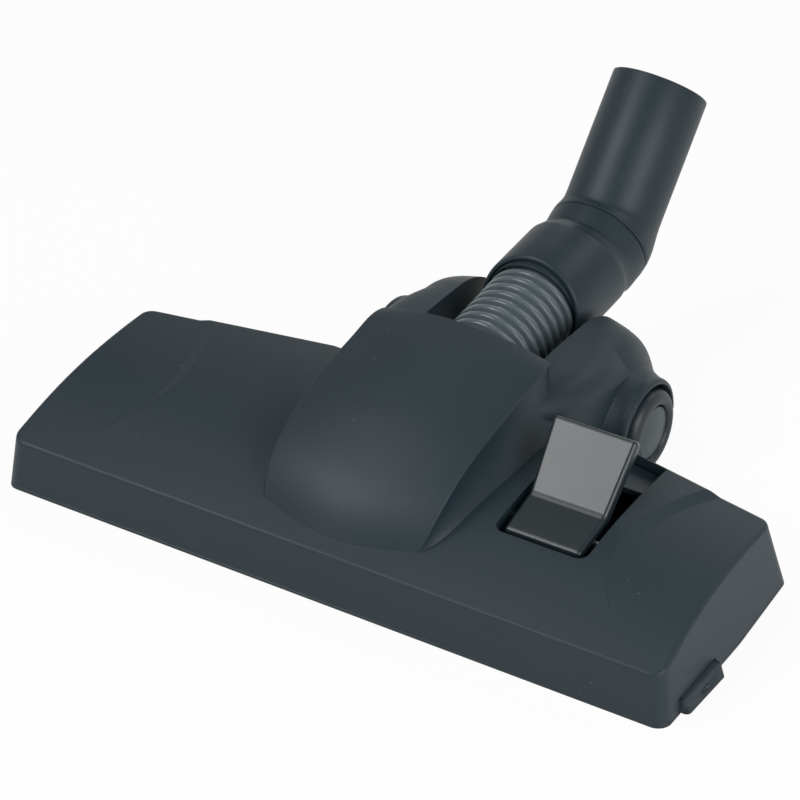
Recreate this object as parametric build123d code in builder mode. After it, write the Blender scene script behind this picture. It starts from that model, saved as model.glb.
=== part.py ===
from build123d import *
from math import cos, radians, sin, tan
import os

# Vacuum floor head: a moulded housing on a sole plate, a retractable brush worked by a foot pedal,
# and a neck that tilts on the wheel axle and carries a swivelling tube socket.
# Millimetres, +X to the right seen from the front, +Y towards the tube, +Z up.
# The origin lies on the floor, in the middle of the head's length and width.

# Tube socket and neck
tube_bore_radius = 17.5
tube_radius = 19.85
tube_elevation = 47.5
tube_length = 54.6
socket_depth = 50.0
swivel_depth = 202.5
swivel_height = 52.8
swivel_elevation = 20.0
bend_tangent = 6.96

tube_turn = radians(tube_elevation - swivel_elevation)
swivel_dir = (cos(radians(swivel_elevation)), sin(radians(swivel_elevation)))
tube_dir = (cos(radians(tube_elevation)), sin(radians(tube_elevation)))
bend_depth = swivel_depth + bend_tangent * (swivel_dir[0] + tube_dir[0])
bend_height = swivel_height + bend_tangent * (swivel_dir[1] + tube_dir[1])
mouth_depth = bend_depth + tube_length * tube_dir[0]
mouth_height = bend_height + tube_length * tube_dir[1]
half_depth = (mouth_depth + tube_radius * tube_dir[1]) / 2


def back(depth):
    """Y of a point that lies this far behind the front lip."""
    return depth - half_depth


# Housing
lip_half_width = 144.2
wall = 2.4
corner_radius = 5.5
edge_round = 1.6
skirt_level = 1.5
loft_top = 38.0
rear_lift_start = 60.0
rear_lift = 5.0
rear_depth = 113.0

# Wheels and tilt axle
axle_depth = 141.6
wheel_radius = 17.0
wheel_inner_x = 48.6
axle_radius = 3.0
arch_bore_radius = 18.9
arch_rim_x = 58.7
lobe_inner_x = 27.5
lobe_floor = 6.8
lobe_front_depth = 96.0

# Hose between the housing and the neck
hose_front_depth = 88.0
hose_front_height = 39.6
hose_rear_depth = 158.0
hose_rear_height = 48.8
hose_radius = 18.9
hose_groove_radius = 16.9
hose_bore_radius = 15.8
hose_pitch = 4.6

# Neck collar
collar_depth = 150.0
collar_height = 47.7
collar_radius = 22.0
collar_bore_radius = 20.4
ring_radius = 21.6

# Pedal
pedal_x = 71.8
pedal_width = 32.0
pedal_top_width = 35.0
pedal_pivot_depth = 54.0
pedal_pivot_height = 25.0
pedal_pin_radius = 2.0
slot_half_width = 19.2
slot_front_depth = 34.8
shelf_front_depth = 80.0

# Sole, mouth and brush
sole_thickness = 4.0
sole_lip = 1.4
mouth_half_width = 32.0
mouth_front = 22.0
mouth_rear = 48.0
front_row_depth = 14.0
rear_row_depth = 55.0
row_width = 5.0
row_half_length = 120.0
row_gap = 4.0


def side_plane(x):
    """Plane across the head at x: its own x axis is +Y and its own y axis is +Z."""
    return Plane(origin=(x, 0, 0), x_dir=(0, 1, 0), z_dir=(1, 0, 0))


def cross_plane(depth):
    """Upright plane square to the head's length: its own axes are +X and +Z."""
    return Plane(origin=(0, back(depth), 0), x_dir=(1, 0, 0), z_dir=(0, -1, 0))


def slab_outline(level, half_front, front, half_rear, rear_side, rear_middle, inset):
    """Plan outline of the flat body at one level, drawn inside its outer line by the inset."""
    with BuildSketch(Plane.XY.offset(level)) as plan:
        with BuildLine():
            Polyline(
                (-half_front + inset, back(front + inset)),
                (half_front - inset, back(front + inset)),
                (half_rear - inset, back(rear_side - inset)),
                (60, back(rear_middle - inset)),
                (-60, back(rear_middle - inset)),
                (-half_rear + inset, back(rear_side - inset)),
                close=True,
            )
        make_face()
        fillet(plan.vertices(), corner_radius - inset)
    return plan.sketch


def slab_walls(inset, bottom, top):
    """Drafted walls of the flat body between two levels."""
    low = slab_outline(bottom, lip_half_width, 0, 141.0, 102, rear_depth, inset)
    high = slab_outline(top, 139.2, 3.0, 138.2, 86.8, 103.2, inset)
    with BuildPart() as walls:
        loft([low, high], ruled=True)
    return walls.part


def top_profile(raised, drop, floor):
    """Side view of the flat body; the middle of the top is raised over the end wings."""
    with BuildSketch(side_plane(-200)) as profile:
        with BuildLine():
            crown = Spline(
                (back(-6), 18.0 - drop - 0.44 * raised),
                (back(1.8), 21.3 - drop - 0.44 * raised),
                (back(20), 27.9 - drop + 0.03 * raised),
                (back(40), 32.8 - drop + 0.5 * raised),
                (back(60), 35.2 - drop + 0.8 * raised),
                (back(82), 35.9 - drop + raised),
                (back(118), 34.2 - drop + raised),
            )
            Polyline(
                crown @ 1,
                (back(118), floor + rear_lift * 1.05),
                (back(rear_lift_start), floor),
                (back(-6), floor),
                crown @ 0,
            )
        make_face()
    return profile.sketch


def wing_form(inset, floor):
    """Full-width flat body."""
    walls = slab_walls(inset, -1.0, loft_top)
    profile = top_profile(0, inset, floor)
    with BuildPart() as wings:
        add(walls)
        extrude(profile, amount=400, mode=Mode.INTERSECT)
        if inset == 0:
            fillet(wings.faces().sort_by(Axis.Z)[-1].edges(), edge_round)
    return wings.part


def middle_form(inset):
    """Raised middle of the top: its sloping sides meet the end wings in a soft step."""
    walls = slab_walls(inset + 0.5, -1.0, loft_top)
    profile = top_profile(1.6, inset, 10.0)
    with BuildPart() as middle:
        for level, front_half, rear_half in ((20, 131.0, 183.0), (40, 61.0, 113.0)):
            with BuildSketch(Plane.XY.offset(level - inset)):
                with BuildLine():
                    Polyline(
                        (-front_half, back(6)),
                        (front_half, back(6)),
                        (rear_half, back(120)),
                        (-rear_half, back(120)),
                        close=True,
                    )
                make_face()
        loft(ruled=True)
        add(walls, mode=Mode.INTERSECT)
        extrude(profile, amount=400, mode=Mode.INTERSECT)
        if inset == 0:
            fillet(middle.faces().sort_by(Axis.Z)[-1].edges(), edge_round - 0.4)
    return middle.part


# depth, crown height, edge height, half width, foot height, foot spread of the hood's sections
hood_sections = (
    (4, 17.5, 9.0, 25.0, 6.0, 1.5),
    (14, 33.5, 25.0, 33.2, 20.0, 2.5),
    (22, 42.0, 36.3, 36.2, 26.0, 4.0),
    (34, 50.2, 45.4, 37.3, 30.0, 5.5),
    (50, 57.0, 52.2, 38.0, 33.0, 7.0),
    (70, 62.0, 57.3, 38.3, 34.5, 8.5),
    (86, 64.8, 60.4, 38.2, 35.0, 9.5),
    (102, 66.9, 62.0, 37.0, 35.0, 10.5),
)


def hood_form(inset, overhang):
    """Crowned tongue over the suction duct, with hollowed flanks that run out into the flat body."""
    with BuildPart() as hood:
        for depth, crown, edge, half, foot, spread in hood_sections:
            last = depth == hood_sections[-1][0]
            with BuildSketch(cross_plane(depth + (overhang if last else 0))):
                half_in = half - inset
                edge_in = edge - inset
                foot_in = foot - inset
                middle = foot_in + 0.42 * (edge_in - foot_in)
                with BuildLine():
                    ThreePointArc((-half_in, edge_in), (0, crown - inset), (half_in, edge_in))
                    ThreePointArc(
                        (half_in, edge_in),
                        (half_in + 0.2 * spread, middle),
                        (half_in + spread, foot_in),
                    )
                    Polyline(
                        (half_in + spread, foot_in),
                        (half_in + spread, 2.6),
                        (-half_in - spread, 2.6),
                        (-half_in - spread, foot_in),
                    )
                    ThreePointArc(
                        (-half_in - spread, foot_in),
                        (-half_in - 0.2 * spread, middle),
                        (-half_in, edge_in),
                    )
                make_face()
        loft()
        if inset == 0:
            creases = hood.edges().filter_by(lambda edge: edge.length > 80 and edge.center().Z > 40)
            fillet(creases, 0.7)
    return hood.part


# x and height along a cheek's crest: over the axle, in front of it, and where it dies into the hood
axle_crest = ((27.5, 54.0), (36.0, 51.9), (41.5, 49.3), (46.0, 44.5), (50.0, 40.4))
shoulder_crest = ((27.5, 54.0), (36.0, 52.9), (42.0, 51.4), (45.4, 48.4), (46.8, 42.0))
front_crest = ((27.5, 52.6), (32.0, 51.8), (36.0, 50.4), (38.6, 47.4), (39.8, 42.0))
# share of the inset by which each point of a crest moves towards the middle of the head
crest_pull = (-1.0, 0.0, 0.15, 0.5, 1.0)


def lobe_profile(side, inset, depth, crest_points):
    """Section of a cheek at one depth, from its crest down to the level of the axle."""
    points = [
        (side * (x - pull * inset), height - inset)
        for (x, height), pull in zip(crest_points, crest_pull)
    ]
    with BuildSketch(cross_plane(depth)) as section:
        with BuildLine():
            crest = Spline(*points)
            Polyline(
                crest @ 1,
                (points[-1][0], wheel_radius),
                (points[0][0], wheel_radius),
                crest @ 0,
            )
        make_face()
    return section.sketch


axle_line = Axis((0, back(axle_depth), wheel_radius), (1, 0, 0))


def lobe_form(side, inset, bottom):
    """Cheek beside the neck: round behind the axle, narrowing into the hood in front of it."""
    section = lobe_profile(side, inset, axle_depth, axle_crest)
    shoulder = lobe_profile(side, inset, 106, shoulder_crest)
    front = lobe_profile(side, inset, 88, front_crest)
    with BuildPart() as lobe:
        revolve(section, axis=axle_line, revolution_arc=-180)
        loft([section, shoulder, front])
        with BuildSketch(Plane.XY.offset(bottom)):
            with Locations((side * 37.2, back((axle_depth + lobe_front_depth) / 2))):
                Rectangle(2 * (37.2 - lobe_inner_x - inset), axle_depth - lobe_front_depth)
        extrude(amount=wheel_radius - bottom)
        with BuildSketch(Plane.XY.offset(bottom)):
            with Locations((side * 40, back(axle_depth))):
                Rectangle(60, 140)
        extrude(amount=-60, mode=Mode.SUBTRACT)
    return lobe.part


def arch_form(side):
    """Round boss over a wheel, flared towards its cheek and rounded at the rim."""
    with BuildSketch(cross_plane(axle_depth)) as section:
        with BuildLine():
            crest = Spline(
                (side * 47.2, wheel_radius + 24.6),
                (side * 50.0, wheel_radius + 23.4),
                (side * 53.5, wheel_radius + 21.7),
                (side * 57.2, wheel_radius + 20.9),
            )
            Polyline(
                crest @ 1,
                (side * 58.2, wheel_radius + 20.5),
                (side * arch_rim_x, wheel_radius + 19.7),
                (side * arch_rim_x, wheel_radius),
                (side * 45.2, wheel_radius),
                (side * 45.2, wheel_radius + 23.0),
                (side * 46.0, wheel_radius + 24.2),
                crest @ 0,
            )
        make_face()
    with BuildPart() as arch:
        revolve(section.sketch, axis=axle_line)
    return arch.part


def disc(plane, radius, start, end, bore=0.0):
    """Round disc, or ring if it has a bore, along a plane's normal between two distances."""
    with BuildPart() as body:
        with BuildSketch(plane.offset(start)):
            Circle(radius)
            if bore:
                Circle(bore, mode=Mode.SUBTRACT)
        extrude(amount=end - start)
    return body.part


def cone(plane, start, start_radius, end, end_radius):
    """Round taper along a plane's normal between two distances."""
    with BuildPart() as body:
        with BuildSketch(plane.offset(start)):
            Circle(start_radius)
        with BuildSketch(plane.offset(end)):
            Circle(end_radius)
        loft()
    return body.part


def block(low, high):
    """Rectangular block between two corners given as x, depth and height."""
    with BuildPart() as body:
        with Locations(((low[0] + high[0]) / 2, back((low[1] + high[1]) / 2), (low[2] + high[2]) / 2)):
            Box(high[0] - low[0], high[1] - low[1], high[2] - low[2])
    return body.part


def upright_plane(depth, height, elevation):
    """Plane square to a line that rises towards the back at this elevation."""
    rise = radians(elevation)
    return Plane(origin=(0, back(depth), height), x_dir=(1, 0, 0), z_dir=(0, cos(rise), sin(rise)))


hose_elevation = 7.49
collar_elevation = 5.5
hose_plane = upright_plane(hose_front_depth, hose_front_height, hose_elevation)
collar_plane = upright_plane(collar_depth, collar_height, collar_elevation)
swivel_plane = upright_plane(swivel_depth, swivel_height, swivel_elevation)
mouth_plane = upright_plane(mouth_depth, mouth_height, tube_elevation)
axle_plane = side_plane(0)
axle_centre = (back(axle_depth), wheel_radius)


def axle_disc(radius, start, end, bore=0.0):
    """Disc about the wheel axle between two x values."""
    plane = Plane(
        origin=(0, back(axle_depth), wheel_radius),
        x_dir=(0, 1, 0),
        z_dir=(1 if end > start else -1, 0, 0),
    )
    return disc(plane, radius, abs(start), abs(end), bore)


# Screws hold the sole plate to bosses of the housing
screw_spots = ((-112.0, 24.0), (112.0, 24.0), (-45.0, 44.4), (45.0, 44.4))
screw_places = [(x, back(depth)) for x, depth in screw_spots]

# Outer form of the housing
wings_outer = wing_form(0, skirt_level)
middle_outer = middle_form(0)
hood_outer = hood_form(0, 0)
cheek_left = lobe_form(-1, 0, lobe_floor)
cheek_right = lobe_form(1, 0, lobe_floor)
arch_left = arch_form(-1)
arch_right = arch_form(1)
below_axle = block((-80, 100, -20), (80, 180, wheel_radius))
with BuildPart() as outer_form:
    add(arch_left)
    add(arch_right)
    add(below_axle, mode=Mode.SUBTRACT)
    add(wings_outer)
    add(middle_outer)
    add(hood_outer)
    add(cheek_left)
    add(cheek_right)

# Hollows of the housing
wings_inner = wing_form(wall, -2.0)
middle_inner = middle_form(wall)
hood_inner = hood_form(wall, 14)
cheek_pocket_left = lobe_form(-1, 3.0, lobe_floor - 1)
cheek_pocket_right = lobe_form(1, 3.0, lobe_floor - 1)
keep_left = block((-80, 99.6, -5), (-lobe_inner_x, 130, 80))
keep_right = block((lobe_inner_x, 99.6, -5), (80, 130, 80))
with BuildPart() as hood_hollow:
    add(hood_inner)
    add(keep_left, mode=Mode.SUBTRACT)
    add(keep_right, mode=Mode.SUBTRACT)
between_wheels = block((-45, 60, 0), (45, 190, 80))
with BuildPart() as cheek_hollow:
    add(cheek_pocket_left)
    add(cheek_pocket_right)
    add(between_wheels, mode=Mode.INTERSECT)
wheel_pocket_left = axle_disc(arch_bore_radius, -47.8, -62.0)
wheel_pocket_right = axle_disc(arch_bore_radius, 47.8, 62.0)
axle_bore_left = axle_disc(axle_radius, -20.0, -50.0)
axle_bore_right = axle_disc(axle_radius, 20.0, 50.0)

# Pedal well, shelf and screw bosses inside the housing
well_half = slot_half_width + 2.4
with BuildPart() as inner_ribs:
    with BuildSketch(Plane.XY.offset(17)):
        with Locations((pedal_x, back(63.2))):
            Rectangle(2 * well_half, 61.6)
            Rectangle(2 * slot_half_width, 56.8, mode=Mode.SUBTRACT)
    extrude(amount=40)
    with BuildSketch(Plane.XY.offset(sole_thickness + 0.1)):
        with Locations(*screw_places):
            Circle(4.2)
            Circle(1.6, mode=Mode.SUBTRACT)
    extrude(amount=40)
    add(outer_form.part, mode=Mode.INTERSECT)
with BuildPart() as pedal_shelf:
    with BuildSketch(side_plane(pedal_x)):
        with BuildLine():
            Polyline(
                (back(shelf_front_depth), 35.0),
                (back(108), 29.9),
                (back(108), 27.5),
                (back(shelf_front_depth), 32.6),
                close=True,
            )
        make_face()
    extrude(amount=slot_half_width + 0.5, both=True)
    add(outer_form.part, mode=Mode.INTERSECT)
with BuildPart() as pedal_slot:
    with BuildSketch(Plane.XY.offset(16.5)) as slot_plan:
        with BuildLine():
            Polyline(
                (pedal_x - slot_half_width, back(slot_front_depth)),
                (pedal_x + slot_half_width, back(slot_front_depth)),
                (pedal_x + slot_half_width, back(95.4)),
                (60, back(101.9)),
                (pedal_x - slot_half_width, back(101.9)),
                close=True,
            )
        make_face()
        fillet(slot_plan.vertices().group_by(Axis.Y)[0], 4.0)
    extrude(amount=40)
pedal_bore = Plane(origin=(pedal_x - 30, back(pedal_pivot_depth), pedal_pivot_height), z_dir=(1, 0, 0))
pedal_pin_hole = disc(pedal_bore, pedal_pin_radius, 0, 60)
tab_notch_left = block((-160, 12.7, -5), (-136, 41.3, 5.8))
tab_notch_right = block((136, 12.7, -5), (160, 41.3, 5.8))

with BuildPart() as top_housing:
    add(outer_form.part)
    add(wings_inner, mode=Mode.SUBTRACT)
    add(middle_inner, mode=Mode.SUBTRACT)
    add(hood_hollow.part, mode=Mode.SUBTRACT)
    add(cheek_hollow.part, mode=Mode.SUBTRACT)
    add(inner_ribs.part)
    add(pedal_slot.part, mode=Mode.SUBTRACT)
    add(pedal_shelf.part)
    add(wheel_pocket_left, mode=Mode.SUBTRACT)
    add(wheel_pocket_right, mode=Mode.SUBTRACT)
    add(axle_bore_left, mode=Mode.SUBTRACT)
    add(axle_bore_right, mode=Mode.SUBTRACT)
    add(pedal_pin_hole, mode=Mode.SUBTRACT)
    add(tab_notch_left, mode=Mode.SUBTRACT)
    add(tab_notch_right, mode=Mode.SUBTRACT)

# Sole plate: a thin lip under the skirt, thicker inside it
sole_walls = slab_walls(0, -1.0, loft_top)
sole_core = slab_walls(3.4, -1.0, loft_top)
mouth_cut = block((-mouth_half_width, mouth_front, -5), (mouth_half_width, mouth_rear, 10))
channel_left = block((-125, 30, -5), (-30, 40, 2.2))
channel_right = block((30, 30, -5), (125, 40, 2.2))
tab_left = block((-146.8, 13, 0), (-138, 41, 5.4))
tab_right = block((138, 13, 0), (146.8, 41, 5.4))
dimple_left = block((-150, 24, 1.6), (-146.0, 30, 3.4))
dimple_right = block((146.0, 24, 1.6), (150, 30, 3.4))
with BuildPart() as sole_sheet:
    add(sole_walls)
    with BuildSketch(side_plane(0)):
        with BuildLine():
            Polyline(
                (back(-6), 0),
                (back(rear_lift_start), 0),
                (back(118), rear_lift * 1.05),
                (back(118), rear_lift * 1.05 + sole_lip),
                (back(rear_lift_start), sole_lip),
                (back(-6), sole_lip),
                close=True,
            )
        make_face()
    extrude(amount=200, both=True, mode=Mode.INTERSECT)
with BuildPart() as sole_bed:
    add(sole_core)
    with Locations((0, back(29), 2.5)):
        Box(400, 58, 3.0, mode=Mode.INTERSECT)
with BuildPart() as end_tabs:
    add(tab_left)
    add(tab_right)
    fillet(end_tabs.edges().filter_by(Axis.Z), 2.0)
    fillet(end_tabs.faces().sort_by(Axis.Z)[-2:].edges(), 0.8)
    add(dimple_left, mode=Mode.SUBTRACT)
    add(dimple_right, mode=Mode.SUBTRACT)
with BuildPart() as sole_plate:
    add(sole_sheet.part)
    add(sole_bed.part)
    add(end_tabs.part)
    add(mouth_cut, mode=Mode.SUBTRACT)
    add(channel_left, mode=Mode.SUBTRACT)
    add(channel_right, mode=Mode.SUBTRACT)
    with BuildSketch(Plane.XY.offset(-2)):
        for row in (front_row_depth, rear_row_depth):
            with Locations((-62, back(row)), (62, back(row))):
                SlotOverall(row_half_length - row_gap, row_width + 0.8)
    extrude(amount=10, mode=Mode.SUBTRACT)
    with BuildSketch(Plane.XY):
        with Locations((0, back(19.4)), (0, back(50.2))):
            Rectangle(100, 2.6)
    extrude(amount=0.9, mode=Mode.SUBTRACT)
    with BuildSketch(Plane.XY.offset(-2)):
        with Locations(*screw_places):
            Circle(3.6)
    extrude(amount=4.4, mode=Mode.SUBTRACT)
    with BuildSketch(Plane.XY.offset(-2)):
        with Locations(*screw_places):
            Circle(1.9)
    extrude(amount=10, mode=Mode.SUBTRACT)

with BuildPart() as front_lint_strip:
    with Locations((0, back(19.4), 0.5)):
        Box(99.6, 2.4, 0.8)
with BuildPart() as rear_lint_strip:
    with Locations((0, back(50.2), 0.5)):
        Box(99.6, 2.4, 0.8)

with BuildPart() as sole_screws:
    with BuildSketch(Plane.XY.offset(0.5)):
        with Locations(*screw_places):
            Circle(3.3)
            Rectangle(4.0, 0.9, mode=Mode.SUBTRACT)
            Rectangle(0.9, 4.0, mode=Mode.SUBTRACT)
    extrude(amount=1.0)
    with BuildSketch(Plane.XY.offset(1.5)):
        with Locations(*screw_places):
            Circle(3.3)
    extrude(amount=0.9)
    with BuildSketch(Plane.XY.offset(2.4)):
        with Locations(*screw_places):
            Circle(1.6)
    extrude(amount=11)

# Suction duct: a box over the mouth that narrows to the hose spigot
duct_end = upright_plane(hose_front_depth - 8, hose_front_height - 1.05, hose_elevation)


def duct_form(inset, low):
    """Duct from the mouth to the spigot, drawn inside its outer face by the inset."""
    with BuildPart() as body:
        with BuildSketch(Plane.XY.offset(low)):
            with Locations((0, back(35))):
                RectangleRounded(67.6 - 2 * inset, 29.6 - 2 * inset, 4.0 - inset)
        extrude(amount=15 - low)
        with BuildSketch(Plane.XY.offset(15)):
            with Locations((0, back(35))):
                RectangleRounded(67.6 - 2 * inset, 29.6 - 2 * inset, 4.0 - inset)
        with BuildSketch(duct_end):
            Circle(17.4 - inset)
        loft()
    return body.part


duct_outer = duct_form(0, sole_thickness + 0.1)
duct_inner = duct_form(1.8, 0.0)
duct_spigot = disc(duct_end, hose_bore_radius - 0.1, 0, 16.0)
duct_way = disc(duct_end, hose_bore_radius - 1.7, -6.0, 20.0)
with BuildPart() as suction_duct:
    add(duct_outer)
    add(duct_spigot)
    add(duct_inner, mode=Mode.SUBTRACT)
    add(duct_way, mode=Mode.SUBTRACT)

# Corrugated hose with a cuff at each end
hose_length = 70.6
ridge_count = 15
hose_points = [(hose_bore_radius, 0), (hose_groove_radius, 0)]
for ridge in range(ridge_count):
    start = 0.8 + ridge * hose_pitch
    hose_points.append((hose_groove_radius, start))
    hose_points.append((hose_radius, start + 1.1))
    hose_points.append((hose_radius, start + 2.5))
    hose_points.append((hose_groove_radius, start + 3.6))
hose_points.append((hose_groove_radius, hose_length))
hose_points.append((hose_bore_radius, hose_length))
hose_side = Plane(origin=hose_plane.origin, x_dir=(1, 0, 0), z_dir=-hose_plane.y_dir)
with BuildPart() as bellows_hose:
    with BuildSketch(hose_side):
        with BuildLine():
            Polyline(*hose_points, close=True)
        make_face()
    revolve(axis=Axis(hose_plane.origin, hose_plane.z_dir))

front_cuff_ring = disc(hose_plane, 21.0, 0.4, 7.0, hose_radius + 0.05)
rear_cuff_ring = disc(hose_plane, 19.8, hose_length - 6.0, hose_length, hose_radius + 0.05)
with BuildPart() as hose_front_cuff:
    add(front_cuff_ring)
with BuildPart() as hose_rear_cuff:
    add(rear_cuff_ring)

# Neck collar: a barrel round the hose, a stepped ring, and two arms down to the axle
step_plane = upright_plane(187.0, 51.27, swivel_elevation)
collar_mouth = upright_plane(collar_depth, collar_height, -7.0)
collar_barrel = disc(collar_plane, collar_radius, -8.0, 60.0)
behind_step = disc(step_plane, 60.0, 0, 80.0)
before_mouth = disc(collar_mouth, 60.0, -40.0, 0)
neck_tube = disc(collar_plane, 20.0, 20.0, 80.0)
behind_seam = disc(swivel_plane, 60.0, 0, 60.0)
seam_flare = cone(swivel_plane, -11.0, 19.4, 0, ring_radius)
swivel_spigot = disc(swivel_plane, 17.3, -6.0, 8.0)
spigot_groove = disc(swivel_plane, 18.5, 4.7, 6.9, 16.4)
hose_seat = disc(collar_plane, collar_bore_radius, -12.0, 10.0)
hose_stop = disc(collar_plane, 15.4, 0, 20.0)
neck_way = disc(collar_plane, 17.6, 12.0, 45.0)
swivel_way = disc(swivel_plane, 15.2, -12.0, 12.0)
with BuildPart() as arms:
    for side in (-1, 1):
        with BuildSketch(side_plane(side * 21.0)):
            with BuildLine():
                Polyline(
                    (back(134.9), 21.4),
                    (back(152), 40),
                    (back(176), 43),
                    (back(172), 36),
                    (back(147.6), 11.7),
                    close=True,
                )
            make_face()
            with Locations(axle_centre):
                Circle(8.0)
                Circle(axle_radius + 0.05, mode=Mode.SUBTRACT)
        extrude(amount=side * 5.6)
        with BuildSketch(side_plane(side * 18.0)):
            with BuildLine():
                Polyline(
                    (back(149), 36.4),
                    (back(152), 40),
                    (back(176), 43),
                    (back(172), 36),
                    (back(158), 30),
                    close=True,
                )
            make_face()
        extrude(amount=side * 3.4)
with BuildPart() as neck_collar:
    add(collar_barrel)
    fillet(neck_collar.edges().sort_by(Axis.Y)[0], 1.0)
    add(behind_step, mode=Mode.SUBTRACT)
    fillet(neck_collar.edges().sort_by(Axis.Y)[-1], 1.0)
    add(before_mouth, mode=Mode.SUBTRACT)
    add(neck_tube)
    add(behind_seam, mode=Mode.SUBTRACT)
    add(seam_flare)
    add(swivel_spigot)
    add(spigot_groove, mode=Mode.SUBTRACT)
    add(arms.part)
    add(hose_seat, mode=Mode.SUBTRACT)
    add(hose_stop, mode=Mode.SUBTRACT)
    add(neck_way, mode=Mode.SUBTRACT)
    add(swivel_way, mode=Mode.SUBTRACT)

# Swivel elbow: a short bend from the swivel into the straight tube socket
bend_radius = bend_tangent / tan(tube_turn / 2)
bend_axis = Axis(
    (
        0,
        back(swivel_depth) - bend_radius * swivel_dir[1],
        swivel_height + bend_radius * swivel_dir[0],
    ),
    (1, 0, 0),
)


def elbow_form(radius):
    """Round bar along the bend and the straight socket."""
    with BuildPart() as bar:
        with BuildSketch(swivel_plane):
            Circle(radius)
        revolve(axis=bend_axis, revolution_arc=tube_elevation - swivel_elevation)
        with BuildSketch(mouth_plane):
            Circle(radius)
        extrude(amount=-tube_length)
    return bar.part


elbow_outer = elbow_form(tube_radius)
elbow_way = elbow_form(15.5)
elbow_flange = cone(swivel_plane, 0.3, ring_radius, 9.0, 18.2)
elbow_seat = disc(swivel_plane, 17.4, -2.0, 8.3)
elbow_groove = disc(swivel_plane, 18.2, 4.9, 6.7)
seam_gap = disc(swivel_plane, 40.0, -5.0, 0.3)
tube_socket = disc(mouth_plane, tube_bore_radius, -socket_depth, 2.0)
with BuildPart() as swivel_elbow:
    add(elbow_outer)
    add(elbow_flange)
    add(elbow_way, mode=Mode.SUBTRACT)
    add(elbow_seat, mode=Mode.SUBTRACT)
    add(elbow_groove, mode=Mode.SUBTRACT)
    add(tube_socket, mode=Mode.SUBTRACT)
    add(seam_gap, mode=Mode.SUBTRACT)

retaining_ring = disc(swivel_plane, 18.2, 5.0, 6.6, 16.7)
with BuildPart() as swivel_retaining_ring:
    add(retaining_ring)

# Axle pins, wheels, tyres and hub caps
pin_left = axle_disc(axle_radius, -21.6, -56.0)
pin_right = axle_disc(axle_radius, 21.6, 56.0)
with BuildPart() as axle_pin_left:
    add(pin_left)
    chamfer(axle_pin_left.edges(), 0.4)
with BuildPart() as axle_pin_right:
    add(pin_right)
    chamfer(axle_pin_right.edges(), 0.4)


def wheel_section(side):
    """Half section of a wheel hub: a sleeve, a web and the rim under the tyre."""
    with BuildSketch(cross_plane(axle_depth)) as section:
        with BuildLine():
            Polyline(
                (side * wheel_inner_x, wheel_radius + axle_radius + 0.05),
                (side * 57.0, wheel_radius + axle_radius + 0.05),
                (side * 57.0, wheel_radius + 12.6),
                (side * 49.4, wheel_radius + 12.6),
                (side * 49.4, wheel_radius + 10.6),
                (side * 53.5, wheel_radius + 10.6),
                (side * 53.5, wheel_radius + 6.0),
                (side * wheel_inner_x, wheel_radius + 6.0),
                close=True,
            )
        make_face()
    return section.sketch


def tyre_section(side):
    """Half section of a tyre: a flat tread, a round outer shoulder and a lip round the hub cap."""
    with BuildSketch(cross_plane(axle_depth)) as section:
        with BuildLine():
            Polyline(
                (side * 59.4, wheel_radius + 10.9),
                (side * 57.0, wheel_radius + 10.9),
                (side * 57.0, wheel_radius + 12.6),
                (side * 49.2, wheel_radius + 12.6),
                (side * 49.2, wheel_radius + 16.0),
                (side * 50.2, 2 * wheel_radius),
                (side * 57.6, 2 * wheel_radius),
            )
            ThreePointArc(
                (side * 57.6, 2 * wheel_radius),
                (side * 60.43, wheel_radius + 15.83),
                (side * 61.6, wheel_radius + 13.0),
            )
            ThreePointArc(
                (side * 61.6, wheel_radius + 13.0),
                (side * 60.95, wheel_radius + 11.5),
                (side * 59.4, wheel_radius + 10.9),
            )
        make_face()
    return section.sketch


def cap_section(side):
    """Half section of a shallow domed hub cap."""
    with BuildSketch(cross_plane(axle_depth)) as section:
        with BuildLine():
            Polyline(
                (side * 61.5, wheel_radius),
                (side * 57.0, wheel_radius),
                (side * 57.0, wheel_radius + 10.4),
                (side * 60.4, wheel_radius + 10.4),
            )
            TangentArc(
                (side * 61.5, wheel_radius),
                (side * 60.4, wheel_radius + 10.4),
                tangent=(0, 1),
            )
        make_face()
    return section.sketch


hub_half_left = wheel_section(-1)
hub_half_right = wheel_section(1)
tyre_half_left = tyre_section(-1)
tyre_half_right = tyre_section(1)
cap_half_left = cap_section(-1)
cap_half_right = cap_section(1)
with BuildPart() as wheel_left:
    revolve(hub_half_left, axis=axle_line)
with BuildPart() as wheel_right:
    revolve(hub_half_right, axis=axle_line)
with BuildPart() as tyre_left:
    revolve(tyre_half_left, axis=axle_line)
with BuildPart() as tyre_right:
    revolve(tyre_half_right, axis=axle_line)
with BuildPart() as hub_cap_left:
    revolve(cap_half_left, axis=axle_line)
with BuildPart() as hub_cap_right:
    revolve(cap_half_right, axis=axle_line)

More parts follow.
